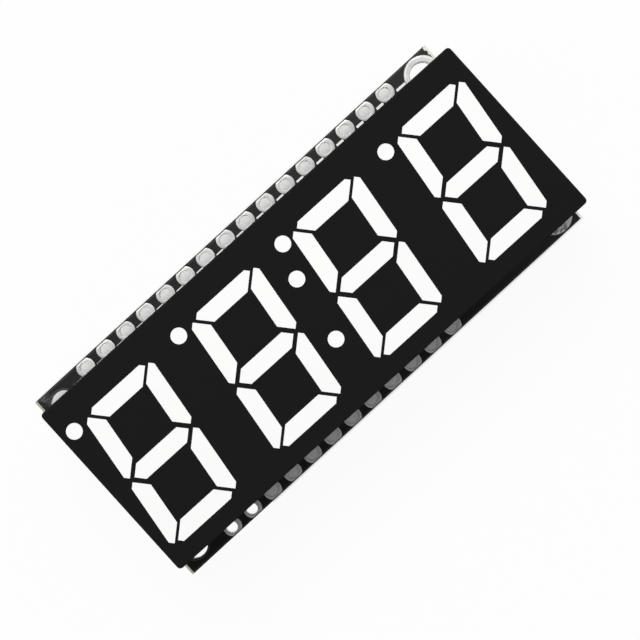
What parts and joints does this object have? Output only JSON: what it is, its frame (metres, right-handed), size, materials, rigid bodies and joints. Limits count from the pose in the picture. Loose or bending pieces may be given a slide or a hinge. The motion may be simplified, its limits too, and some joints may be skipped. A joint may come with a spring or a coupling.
{
  "type": "seven segment display module",
  "caption": "Black LED display block with white leaning digits, decimal points and a colon, on a black driver board with rows of plated header holes.",
  "frame": {"origin": "middle of the circuit board's rear face, which is the middle of its four mounting holes", "axes": "+X the way the digits read, +Y towards the tops of the digits, +Z the way the digits face"},
  "size_m": [0.0505, 0.022, 0.0123],
  "materials": {
    "board_laminate": "satin black solder mask on glass laminate",
    "tinned_copper": "soft bright tin",
    "housing_plastic": "matte black",
    "segment_casting": "milky white, flush with the face",
    "lamp_crystal": "clear crystal",
    "inner_laminate": "bare laminate",
    "sealing_resin": "poured resin",
    "pin_metal": "tinned wire",
    "solder": "bright solder",
    "chip_moulding": "fine matte black moulding",
    "capacitor_ceramic": "tan ceramic",
    "resistor_ceramic": "white ceramic",
    "resistor_glaze": "black glaze"
  },
  "bodies": {
    "root": {"circuit_board": "board_laminate", "long_row_pads": "tinned_copper", "short_row_pads": "tinned_copper", "mounting_rings": "tinned_copper", "pin_hole_pads": "tinned_copper", "display_housing": "housing_plastic", "digit_1_segments": "segment_casting", "digit_2_segments": "segment_casting", "digit_3_segments": "segment_casting", "digit_4_segments": "segment_casting", "decimal_points": "segment_casting", "colon_dots": "segment_casting", "lamp_chips": "lamp_crystal", "inner_board": "inner_laminate", "sealing_resin": "sealing_resin", "display_pins": "pin_metal", "pin_solder_joints": "solder", "driver_chip_body": "chip_moulding", "driver_chip_leads": "pin_metal", "driver_chip_pads": "tinned_copper", "capacitor_bodies": "capacitor_ceramic", "capacitor_end_caps": "tinned_copper", "resistor_bodies": "resistor_ceramic", "resistor_coats": "resistor_glaze", "resistor_end_caps": "tinned_copper", "component_pads": "tinned_copper", "address_jumper_pads": "tinned_copper"}
  },
  "joints": []
}
